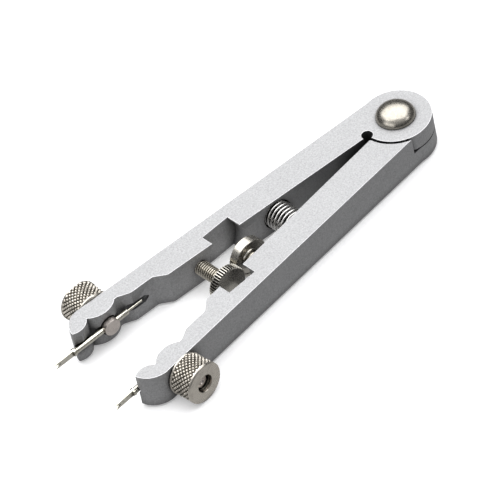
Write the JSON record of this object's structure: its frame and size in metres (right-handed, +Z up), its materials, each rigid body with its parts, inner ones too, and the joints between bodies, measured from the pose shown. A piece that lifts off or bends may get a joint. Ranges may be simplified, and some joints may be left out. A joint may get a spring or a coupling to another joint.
{
  "type": "spring bar pliers",
  "caption": "Spring-loaded pliers with a forked steel pin clamped in each tip and two thumbwheel stops, for fitting and removing watch spring bars.",
  "frame": {"origin": "on the pivot's axis, at the surface that the tool lies on", "axes": "+X from the pivot towards the tips, +Z up along the pivot's axis, +Y towards the right arm"},
  "size_m": [0.1415, 0.056, 0.0161],
  "materials": {
    "satin_alloy": "satin, sand blasted",
    "polished_nickel": "polished nickel plate",
    "wheel_nickel": "turned and nickel plated",
    "knurled_nickel": "knurled and nickel plated",
    "post_nickel": "matt nickel plate",
    "pin_steel": "polished hardened steel",
    "spring_wire": "drawn spring wire"
  },
  "bodies": {
    "right_body": {"right_arm": "satin_alloy", "pivot_rivet": "polished_nickel", "pivot_washer": "polished_nickel", "return_spring": "spring_wire"},
    "left_body": {"left_arm": "satin_alloy"},
    "closing_screw": {"closing_stop_screw": "polished_nickel"},
    "closing_wheel": {"closing_stop_wheel": "wheel_nickel"},
    "opening_screw": {"opening_stop_screw": "polished_nickel"},
    "opening_wheel": {"opening_stop_wheel": "wheel_nickel"},
    "left_post": {"left_clamp_post": "post_nickel"},
    "left_nut": {"left_clamp_nut": "knurled_nickel"},
    "left_pin": {"left_fork_pin": "pin_steel"},
    "right_post": {"right_clamp_post": "post_nickel"},
    "right_nut": {"right_clamp_nut": "knurled_nickel"},
    "right_pin": {"right_fork_pin": "pin_steel"}
  },
  "joints": [
    {"name": "arm_pivot", "type": "hinge", "parent": "right_body", "child": "left_body", "pos_m": [0, 0, 0.0066], "axis": [0, 0, 1], "range_deg": [0, 3.6], "stiffness_Nm_per_rad": 0.9, "springref_deg": -11.46, "deforming": ["return_spring"]},
    {"name": "closing_wheel_turn", "type": "hinge", "parent": "closing_screw", "child": "closing_wheel", "pos_m": [0.07645, 0, 0.0066], "axis": [0, 1, 0], "range_deg": [0, 360.1]},
    {"name": "closing_screw_travel", "type": "slide", "parent": "left_body", "child": "closing_screw", "axis": [0, 1, 0], "range_m": [0, 0.0008]},
    {"name": "opening_wheel_turn", "type": "hinge", "parent": "opening_screw", "child": "opening_wheel", "pos_m": [0.06475, 0, 0.0066], "axis": [0, -1, 0], "range_deg": [0, 450.1]},
    {"name": "opening_screw_travel", "type": "slide", "parent": "right_body", "child": "opening_screw", "axis": [0, -1, 0], "range_m": [0, 0.001]},
    {"name": "left_nut_turn", "type": "hinge", "parent": "left_body", "child": "left_nut", "pos_m": [0.10869, -0.01853, 0.0066], "axis": [-0.0779, -0.997, 0], "range_deg": [0, 720.1]},
    {"name": "left_post_travel", "type": "slide", "parent": "left_body", "child": "left_post", "axis": [0.0779, 0.997, 0], "range_m": [0, 0.0016]},
    {"name": "left_pin_slide", "type": "slide", "parent": "left_post", "child": "left_pin", "axis": [0.9995, -0.0326, 0], "range_m": [0, 0.006]},
    {"name": "right_nut_turn", "type": "hinge", "parent": "right_body", "child": "right_nut", "pos_m": [0.10869, 0.01853, 0.0066], "axis": [-0.0779, 0.997, 0], "range_deg": [0, 720.1]},
    {"name": "right_post_travel", "type": "slide", "parent": "right_body", "child": "right_post", "axis": [0.0779, -0.997, 0], "range_m": [0, 0.0016]},
    {"name": "right_pin_slide", "type": "slide", "parent": "right_post", "child": "right_pin", "axis": [0.9995, 0.0326, 0], "range_m": [0, 0.006]}
  ],
  "couplings": [
    {"joint": "closing_wheel_turn", "follows": "closing_screw_travel", "rad_per_m": 7854},
    {"joint": "opening_wheel_turn", "follows": "opening_screw_travel", "rad_per_m": 7854},
    {"joint": "left_nut_turn", "follows": "left_post_travel", "rad_per_m": 7854},
    {"joint": "right_nut_turn", "follows": "right_post_travel", "rad_per_m": 7854}
  ]
}
